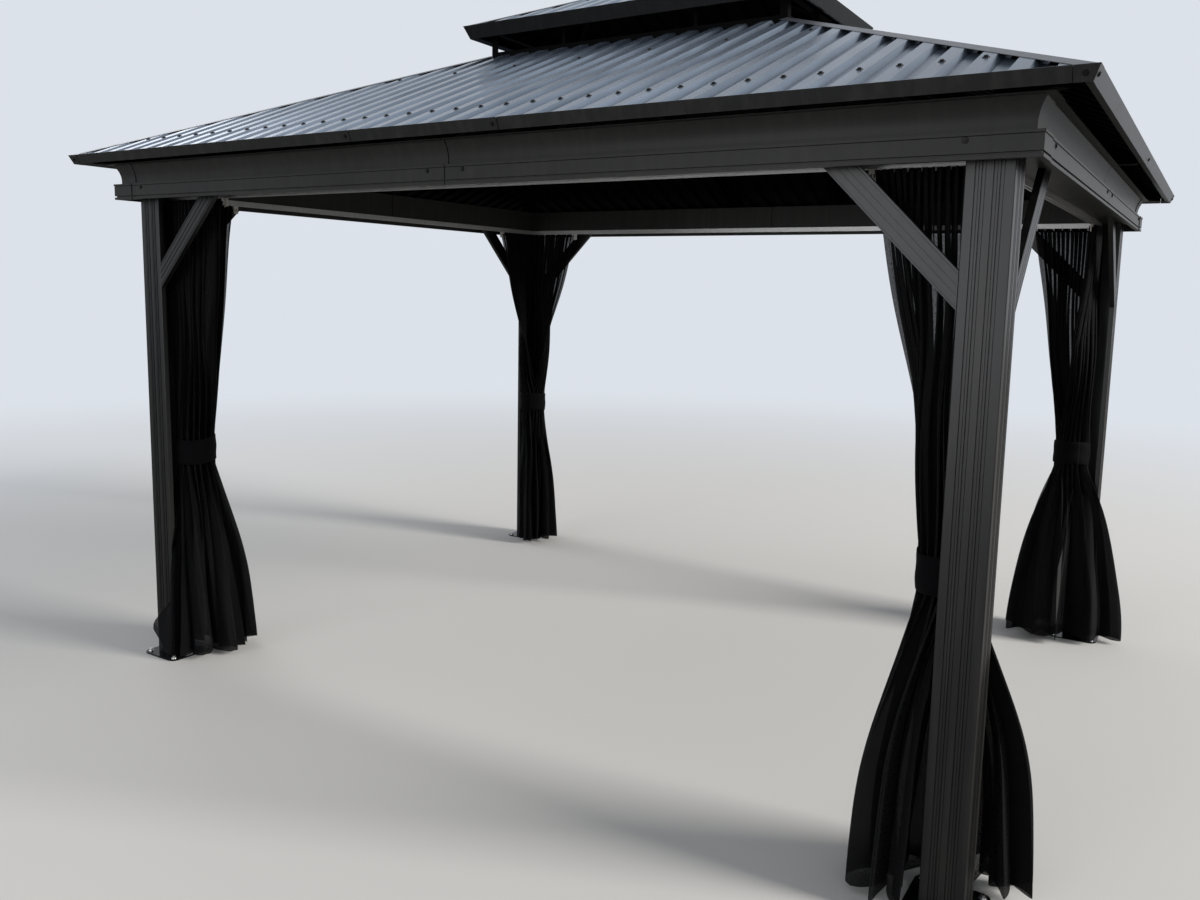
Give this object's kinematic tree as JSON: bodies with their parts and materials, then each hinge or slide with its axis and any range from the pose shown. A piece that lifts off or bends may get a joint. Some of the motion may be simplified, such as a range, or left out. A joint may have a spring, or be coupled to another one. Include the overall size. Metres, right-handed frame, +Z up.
{
  "type": "metal gazebo",
  "caption": "Rectangular hardtop metal gazebo: fluted posts on foot plates, cornice beams, knee braces, ribbed hip roof with a raised vent roof, and tied net curtains.",
  "frame": {"origin": "on the ground, at the middle of the four posts", "axes": "X runs along the long side, +Z is up, the front faces -Y"},
  "size_m": [3.8812, 3.1112, 2.9697],
  "materials": {
    "frame": "satin powder coat",
    "plates": "gloss",
    "trim": "satin",
    "roof": "satin",
    "rail": "satin",
    "net": "fine mesh",
    "tie": "woven"
  },
  "bodies": {
    "root": {"post_front_right": "frame", "post_front_left": "frame", "post_back_right": "frame", "post_back_left": "frame", "foot_plates": "plates", "beam_front": "frame", "beam_right": "frame", "beam_back": "frame", "beam_left": "frame", "beam_corner_front_right": "frame", "beam_corner_front_left": "frame", "beam_corner_back_right": "frame", "beam_corner_back_left": "frame", "braces_front_right": "frame", "braces_front_left": "frame", "braces_back_right": "frame", "braces_back_left": "frame", "eave_front": "trim", "eave_right": "trim", "eave_back": "trim", "eave_left": "trim", "eave_caps": "trim", "roof_front": "roof", "roof_right": "roof", "roof_back": "roof", "roof_left": "roof", "hip_caps": "trim", "hip_rafters": "frame", "rafters": "frame", "vent_ring": "frame", "vent_struts": "frame", "upper_frame": "frame", "upper_rafters": "frame", "upper_roof_long": "roof", "upper_roof_ends": "roof", "upper_eave": "trim", "upper_caps": "trim", "curtain_rails": "rail", "curtain_front_right": "net", "curtain_front_left": "net", "curtain_back_right": "net", "curtain_back_left": "net", "curtain_ties": "tie"}
  },
  "joints": []
}
